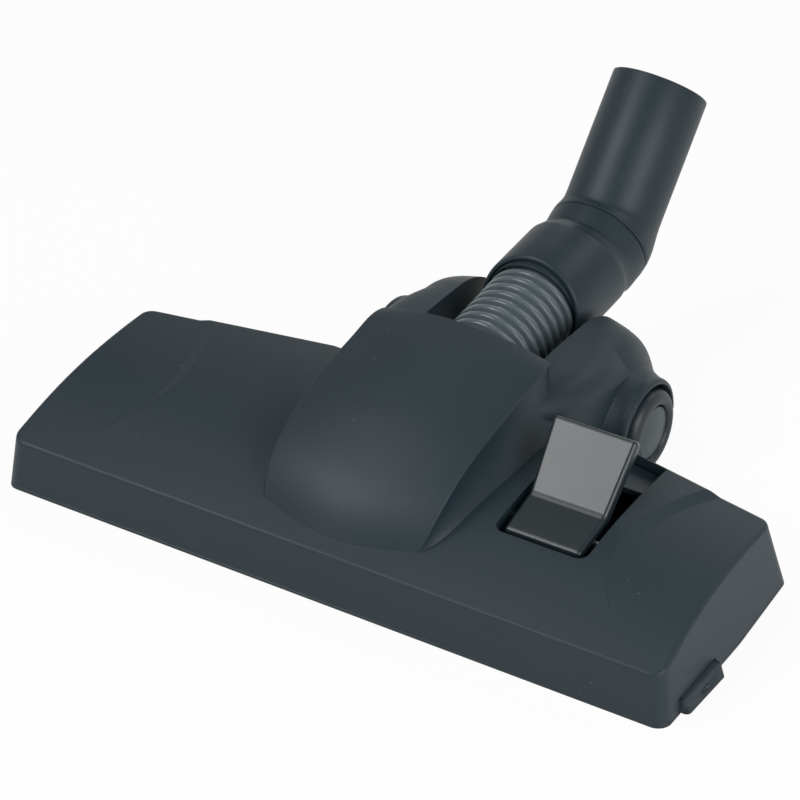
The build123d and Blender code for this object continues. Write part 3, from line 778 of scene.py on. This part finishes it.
    def build(self) -> bpy.types.Object:
        """Build the collar.

        Returns:
            The collar with its arms.
        """
        rounds = [self.barrel_round(self.mouth, self.mouth_tilt, *cut) for cut in self.mouth_rounds]
        rounds += [self.barrel_round(self.step, self.seam_tilt, *cut) for cut in self.step_rounds]
        rounds += [self.flat_round(self.seam, self.seam_tilt, *cut) for cut in self.seam_rounds]
        rounds += [self.flat_round(self.mouth, self.barrel_tilt, *cut) for cut in self.way_rounds]
        shell = bmesh.new()
        round_shell(shell, rounds)
        for side in (-1.0, 1.0):
            pierced_plate(shell, self.arm_outline(), self.axle, self.pin_radius, side)
        collar = finish_shell(shell, "collar_and_arms")
        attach(collar, "neck")
        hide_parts("neck_collar")
        return collar


@dataclass
class SwivelElbow:
    """Bent tube socket that turns on the collar's spigot and flows out of its seam.

    Args:
        seam: Depth and height of the middle of the seam, in millimetres.
        seam_tilt: Rise of the path at the seam in degrees.
        tube_tilt: Rise of the straight tube.
        bend_radius: Radius of the bend's middle line.
        rounds: Distance along the path and radius of each round, outside first, then the bore.
    """

    seam: tuple[float, float] = SWIVEL_SEAM
    seam_tilt: float = SWIVEL_TILT
    tube_tilt: float = 47.5
    bend_radius: float = 28.443
    rounds: tuple[tuple[float, float], ...] = (
        (0.3, 21.0),
        (0.4, 21.4),
        (0.8, 21.6),
        (2.4, 21.56),
        (4.4, 21.4),
        (6.4, 21.1),
        (8.4, 20.7),
        (10.4, 20.3),
        (12.4, 20.02),
        (14.6, 19.88),
        (17.5, 19.85),
        (42.0, 19.85),
        (67.5, 19.85),
        (68.0, 19.7),
        (68.25, 19.3),
        (68.25, 17.9),
        (67.9, 17.5),
        (18.4, 17.5),
        (18.3, 15.5),
        (13.6, 15.5),
        (8.3, 15.5),
        (8.3, 17.4),
        (6.7, 17.4),
        (6.7, 18.2),
        (4.9, 18.2),
        (4.9, 17.4),
        (0.3, 17.4),
    )

    def build(self) -> bpy.types.Object:
        """Build the elbow.

        Returns:
            The elbow with its socket.
        """
        low, high = math.radians(self.seam_tilt), math.radians(self.tube_tilt)
        hub = place(*self.seam) + Vector((0.0, -math.sin(low), math.cos(low))) * self.bend_radius
        shell = bmesh.new()
        loops = []
        for along, radius in self.rounds:
            lean = min(low + along / self.bend_radius, high)
            straight = max(0.0, along - self.bend_radius * (high - low))
            forward = Vector((0.0, math.cos(lean), math.sin(lean)))
            upward = Vector((0.0, -math.sin(lean), math.cos(lean)))
            centre = hub - upward * self.bend_radius + forward * straight
            loops.append(ring(centre, upward, radius))
        round_shell(shell, loops)
        elbow = finish_shell(shell, "bent_tube_socket")
        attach(elbow, "elbow")
        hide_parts("swivel_elbow")
        return elbow


@dataclass
class FootPedal:
    """Bent pedal with thick rounded sides, two lugs on its pin and the toes that press the brush.

    Args:
        middle: Distance of its middle from the head's middle, in millimetres.
        upper: Depth, height and half width along the top, from the front edge to the raised edge.
        lower: The same along the underside.
        round_radius: Radius of its edges.
        round_parts: Number of steps over a rounded edge.
        sharp_angle: Angle in radians over which an edge is rounded.
        pivot: Depth and height of the pin.
        pin_radius: Radius of the pin's hole.
        lug_offset: Distance of each lug from the pedal's middle.
        lug_half: Half of a lug's thickness.
        lug_root: Depth and height of the points where a lug enters the plate.
        lug_eye: Radius of a lug round the pin.
        eye_to_toe: Turns in degrees of the eye's points from the plate to the toe.
        eye_from_toe: Turns in degrees of the eye's points from the toe back to the plate.
        toe_turn: Direction of the toe from the pin, in degrees.
        toe_reach: Distance of the toe's middle from the pin.
        toe_rim: Distance out of the toe's middle and aside of each point of its rim.
    """

    middle: float = 71.8
    upper: tuple[tuple[float, float, float], ...] = (
        (37.0, 32.5, 16.0),
        (55.8, 37.7, 16.1),
        (75.0, 60.5, 17.5),
    )
    lower: tuple[tuple[float, float, float], ...] = (
        (37.9, 28.5, 16.0),
        (59.2, 33.6, 16.1),
        (79.2, 57.0, 17.5),
    )
    round_radius: float = 1.7
    round_parts: int = 5
    sharp_angle: float = 0.7
    pivot: tuple[float, float] = (54.0, 25.0)
    pin_radius: float = 2.05
    lug_offset: float = 11.0
    lug_half: float = 1.25
    lug_root: tuple[tuple[float, float], ...] = ((47.5, 31.2), (52.0, 34.0), (57.0, 34.4))
    lug_eye: float = 5.0
    eye_to_toe: tuple[float, ...] = (60, 40, 20, 0, -16)
    eye_from_toe: tuple[float, ...] = (-68, -90, -110, -130, -150, -170, -190, -210)
    toe_turn: float = -42.0
    toe_reach: float = 15.2
    toe_rim: tuple[tuple[float, float], ...] = (
        (0.0, 2.0),
        (1.4, 1.4),
        (2.0, 0.0),
        (1.4, -1.4),
        (0.0, -2.0),
    )

    def from_pin(self, degrees: float, along: float, aside: float = 0.0) -> tuple[float, float]:
        """Depth and height of a point seen from the pin.

        Args:
            degrees: Direction from the pin.
            along: Distance in that direction.
            aside: Distance square to it.

        Returns:
            The point's depth and height.
        """
        turn = math.radians(degrees)
        depth = self.pivot[0] + along * math.cos(turn) - aside * math.sin(turn)
        return depth, self.pivot[1] + along * math.sin(turn) + aside * math.cos(turn)

    def lug_outline(self) -> list[tuple[float, float]]:
        """Outline of a lug and its toe, in order round the pin.

        Returns:
            Depth and height of each point.
        """
        points = list(self.lug_root)
        points += [self.from_pin(turn, self.lug_eye) for turn in self.eye_to_toe]
        points += [self.from_pin(self.toe_turn, self.toe_reach + out, aside) for out, aside in self.toe_rim]
        points += [self.from_pin(turn, self.lug_eye) for turn in self.eye_from_toe]
        return points

    def build(self) -> bpy.types.Object:
        """Build the pedal.

        Returns:
            The pedal with its lugs.
        """
        shell = bmesh.new()
        loops = []
        for top, under in zip(self.upper, self.lower):
            corners = ((top, -1), (top, 1), (under, 1), (under, -1))
            points = [place(at[0], at[1], self.middle + side * at[2]) for at, side in corners]
            loops.append([shell.verts.new(point * MM) for point in points])
        for one, other in zip(loops, loops[1:]):
            for side in range(4):
                after = (side + 1) % 4
                shell.faces.new((one[side], one[after], other[after], other[side]))
        shell.faces.new(loops[0])
        shell.faces.new(loops[-1])
        bmesh.ops.recalc_face_normals(shell, faces=shell.faces)
        bend = {loops[1][0], loops[1][1]}
        sharp = [
            edge
            for edge in shell.edges
            if edge.calc_face_angle() > self.sharp_angle or set(edge.verts) == bend
        ]
        bmesh.ops.bevel(
            shell,
            geom=sharp,
            offset=self.round_radius * MM,
            offset_type="OFFSET",
            segments=self.round_parts,
            profile=0.5,
            affect="EDGES",
        )
        for offset in (-self.lug_offset, self.lug_offset):
            near, far = self.middle + offset - self.lug_half, self.middle + offset + self.lug_half
            outline = [(depth, height, near, far) for depth, height in self.lug_outline()]
            pierced_plate(shell, outline, self.pivot, self.pin_radius, 1.0)
        pedal = finish_shell(shell, "rounded_pedal")
        even = pedal.modifiers.new("Even_Faces", "WEIGHTED_NORMAL")
        even.weight = 100
        even.keep_sharp = True
        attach(pedal, "foot_pedal")
        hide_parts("pedal")
        return pedal


@dataclass
class BellowsHose:
    """Corrugated hose from the duct's spigot to the neck collar.

    Args:
        front: Centre of its front end, in millimetres.
        rear: Centre of its rear end, in millimetres.
        ridge_radius: Radius over the ridges.
        groove_radius: Radius in the grooves.
        bore_radius: Radius of the bore.
        pitch: Distance from ridge to ridge.
        ridges: Number of ridges.
        lead: Plain length before the first ridge.
        hold_start: Not used; meant as the share of its length up to which it would stay with the housing.
        hold_end: Not used; meant as the share of its length from which it would stay with the neck.
        ridge_shape: One ridge as shares of the pitch and of its height, from groove to groove.
    """

    front: tuple[float, float, float] = (0.0, -44.6323, 39.6)
    rear: tuple[float, float, float] = (0.0, 25.3677, 48.8)
    ridge_radius: float = 18.9
    groove_radius: float = 16.3
    bore_radius: float = 15.8
    pitch: float = 4.95
    ridges: int = 14
    lead: float = 0.65
    hold_start: float = 0.2
    hold_end: float = 0.9
    ridge_shape: tuple[tuple[float, float], ...] = (
        (0.0, 0.0),
        (0.15, 0.02),
        (0.215, 0.3),
        (0.255, 0.75),
        (0.3, 0.93),
        (0.38, 0.985),
        (0.5, 1.0),
        (0.62, 0.985),
        (0.7, 0.93),
        (0.745, 0.75),
        (0.785, 0.3),
        (0.85, 0.02),
    )

    def profile(self) -> list[tuple[float, float]]:
        """Outline of the wall, ridge by ridge.

        Returns:
            Distance along the hose and radius of each round.
        """
        length = (Vector(self.rear) - Vector(self.front)).length
        outline = [(0.0, self.bore_radius), (0.0, self.groove_radius)]
        for ridge in range(self.ridges):
            for share, swell in self.ridge_shape:
                radius = self.groove_radius + (self.ridge_radius - self.groove_radius) * swell
                outline.append((self.lead + (ridge + share) * self.pitch, radius))
        outline.append((length, self.groove_radius))
        outline.append((length, self.bore_radius))
        return outline

    def build(self) -> bpy.types.Object:
        """Build the hose.

        Returns:
            The hose.
        """
        axis = (Vector(self.rear) - Vector(self.front)).normalized()
        quarter = axis.cross(Vector((1.0, 0.0, 0.0))).normalized()
        front = Vector(self.front)
        shell = bmesh.new()
        round_shell(shell, [ring(front + axis * along, quarter, radius) for along, radius in self.profile()])
        return finish_shell(shell, "corrugated_hose", SMOOTH_ALL_OVER)

    def fit(self, hose: bpy.types.Object) -> None:
        """Bake the hose's placement into its mesh and hide the CAD hose.

        Args:
            hose: The hose, already dressed.
        """
        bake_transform(hose)
        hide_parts("bellows_hose")


@dataclass(frozen=True)
class SoftBox:
    """A studio soft box.

    Args:
        name: Name of the lamp.
        stand: Where it stands, in metres.
        aim: The point it faces, in metres.
        size: Side of the square face, in metres.
        watts: Its power.
    """

    name: str
    stand: tuple[float, float, float]
    aim: tuple[float, float, float]
    size: float
    watts: float

    def set_up(self) -> None:
        """Put the lamp in the scene."""
        data = bpy.data.lights.new(self.name, "AREA")
        data.size = self.size
        data.energy = self.watts
        lamp = bpy.data.objects.new(self.name, data)
        lamp.location = self.stand
        aim = Vector(self.aim) - Vector(self.stand)
        lamp.rotation_euler = aim.to_track_quat("-Z", "Y").to_euler()
        bpy.context.scene.collection.objects.link(lamp)


@dataclass
class Studio:
    """White sweep, soft light and the camera.

    Args:
        azimuth: Camera's turn to the right of the front, in degrees.
        elevation: Camera's height over the horizon, in degrees.
        distance: Distance from the camera to its target, in millimetres.
        target: The point in the middle of the picture, in millimetres.
        focal_pixels: Focal length in pixels of a square picture.
        picture: Side of that picture in pixels.
        sensor: Width of the camera's sensor, in millimetres.
        far_end: Distance up to which the camera sees, in metres.
        horizon_strength: Strength of the world's light at the horizon.
        sky_strength: Strength of the world's light overhead.
        fade_height: Height of direction, from zero to one, at which the light has fallen to the sky's.
        floor_half: Half of the floor's side, in metres.
        floor_drop: How far the floor lies under the sole, in metres.
        floor_tone: Share of light that the floor's paper gives back.
        camera_share: Share of plain white that the camera sees in the floor.
        mirror_share: Share of that white that reflections of the floor see.
        boxes: The soft boxes.
    """

    azimuth: float = 32.22
    elevation: float = 32.95
    distance: float = 1458.7
    target: tuple[float, float, float] = (-31.38, -27.19, 20.0)
    focal_pixels: float = 3768.7
    picture: float = 800.0
    sensor: float = 36.0
    far_end: float = 50.0
    horizon_strength: float = 0.75
    sky_strength: float = 0.24
    fade_height: float = 0.5
    floor_half: float = 30.0
    floor_drop: float = 0.0002
    floor_tone: float = 0.8
    camera_share: float = 0.93
    mirror_share: float = 0.5
    boxes: tuple[SoftBox, ...] = (
        SoftBox("Key_Box", (-0.66, -0.98, 1.1), (0.0, 0.0, 0.03), 0.7, 10.2),
        SoftBox("Top_Box", (-0.3, -0.12, 0.78), (0.03, -0.08, 0.03), 0.35, 1.0),
        SoftBox("Fill_Box", (0.8, -0.35, 0.48), (0.0, 0.0, 0.04), 0.6, 5.2),
        SoftBox("Back_Left_Box", (-0.45, 1.35, 0.7), (0.0, 0.0, 0.05), 0.7, 2.4),
        SoftBox("Back_Right_Box", (0.5, 1.0, 0.95), (0.0, 0.0, 0.05), 0.6, 2.2),
    )

    def place_camera(self) -> None:
        """Stand the camera at the viewing angle and length of lens."""
        turn, lift = math.radians(self.azimuth), math.radians(self.elevation)
        outward = Vector(
            (math.sin(turn) * math.cos(lift), -math.cos(turn) * math.cos(lift), math.sin(lift))
        )
        data = bpy.data.cameras.new("Camera")
        data.sensor_width = self.sensor
        data.lens = self.sensor * self.focal_pixels / self.picture
        data.clip_end = self.far_end
        camera = bpy.data.objects.new("Camera", data)
        camera.location = (Vector(self.target) + outward * self.distance) * MM
        camera.rotation_euler = (-outward).to_track_quat("-Z", "Y").to_euler()
        bpy.context.scene.collection.objects.link(camera)
        bpy.context.scene.camera = camera

    def lay_floor(self) -> None:
        """Lay a pale floor that shows white to the camera and keeps the shadow."""
        mesh = bpy.data.meshes.new("studio_floor")
        half = self.floor_half
        plan = ((-half, -half), (half, -half), (half, half), (-half, half))
        mesh.from_pydata([(x, y, -self.floor_drop) for x, y in plan], [], [(0, 1, 2, 3)])
        floor = bpy.data.objects.new("studio_floor", mesh)
        bpy.context.scene.collection.objects.link(floor)
        material = blank_material("Floor_White_Paper")
        tree = material.node_tree
        seen = add_node(tree, "ShaderNodeLightPath")
        mirrored = add_node(
            tree,
            "ShaderNodeMath",
            links={0: seen.outputs["Is Glossy Ray"], 1: seen.outputs["Is Transmission Ray"]},
            operation="MAXIMUM",
        )
        softened = add_node(
            tree,
            "ShaderNodeMath",
            {1: self.mirror_share},
            {0: mirrored.outputs[0]},
            operation="MULTIPLY",
        )
        direct = add_node(
            tree,
            "ShaderNodeMath",
            links={0: seen.outputs["Is Camera Ray"], 1: softened.outputs[0]},
            operation="MAXIMUM",
        )
        tone = (self.floor_tone, self.floor_tone, self.floor_tone, 1.0)
        paper = add_node(tree, "ShaderNodeBsdfDiffuse", {"Color": tone})
        shine = add_node(tree, "ShaderNodeEmission", {"Color": (1.0, 1.0, 1.0, 1.0), "Strength": 1.0})
        share = add_node(
            tree,
            "ShaderNodeMath",
            {1: self.camera_share},
            {0: direct.outputs[0]},
            operation="MULTIPLY",
        )
        white = add_node(
            tree,
            "ShaderNodeMixShader",
            links={0: share.outputs[0], 1: paper.outputs["BSDF"], 2: shine.outputs["Emission"]},
        )
        add_node(tree, "ShaderNodeOutputMaterial", links={"Surface": white.outputs["Shader"]})
        mesh.materials.append(material)

    def light_world(self) -> None:
        """Fill the studio with white light that is brightest near the horizon."""
        world = bpy.data.worlds.new("Studio_World")
        bpy.context.scene.world = world
        world.use_nodes = True
        tree = world.node_tree
        tree.nodes.clear()
        seen = add_node(tree, "ShaderNodeLightPath")
        direction = add_node(tree, "ShaderNodeTexCoord")
        height = add_node(tree, "ShaderNodeSeparateXYZ", links={0: direction.outputs["Generated"]})
        fall = add_node(
            tree,
            "ShaderNodeMapRange",
            {
                "From Max": self.fade_height,
                "To Min": self.horizon_strength,
                "To Max": self.sky_strength,
            },
            {"Value": height.outputs["Z"]},
        )
        strength = add_node(
            tree,
            "ShaderNodeMapRange",
            {"To Max": 1.0},
            {"Value": seen.outputs["Is Camera Ray"], "To Min": fall.outputs["Result"]},
        )
        sky = add_node(
            tree,
            "ShaderNodeBackground",
            {"Color": (1.0, 1.0, 1.0, 1.0)},
            {"Strength": strength.outputs["Result"]},
        )
        add_node(tree, "ShaderNodeOutputWorld", links={"Surface": sky.outputs["Background"]})

    def set_up(self) -> None:
        """Set up floor, light and camera."""
        bpy.context.scene.view_settings.view_transform = "Standard"
        self.lay_floor()
        self.light_world()
        for box in self.boxes:
            box.set_up()
        self.place_camera()


def main() -> None:
    """Set up the studio, dress the CAD pieces and build those that the scene draws itself."""
    logging.basicConfig(level=logging.INFO)
    Studio().set_up()
    wardrobe = Wardrobe()
    for name, finish in FINISH_OF_NODE.items():
        wardrobe.dress(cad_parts[name], finish)
    wardrobe.dress(SolePlate().build(), Finish.SOLE_PP)
    wardrobe.dress(NeckCollar().build(), Finish.NECK_ABS)
    wardrobe.dress(SwivelElbow().build(), Finish.NECK_ABS)
    wardrobe.dress(FootPedal().build(), Finish.PEDAL_PP)
    hose_maker = BellowsHose()
    hose = hose_maker.build()
    wardrobe.dress(hose, Finish.HOSE_EVA)
    hose_maker.fit(hose)


if __name__ == "__main__":
    main()
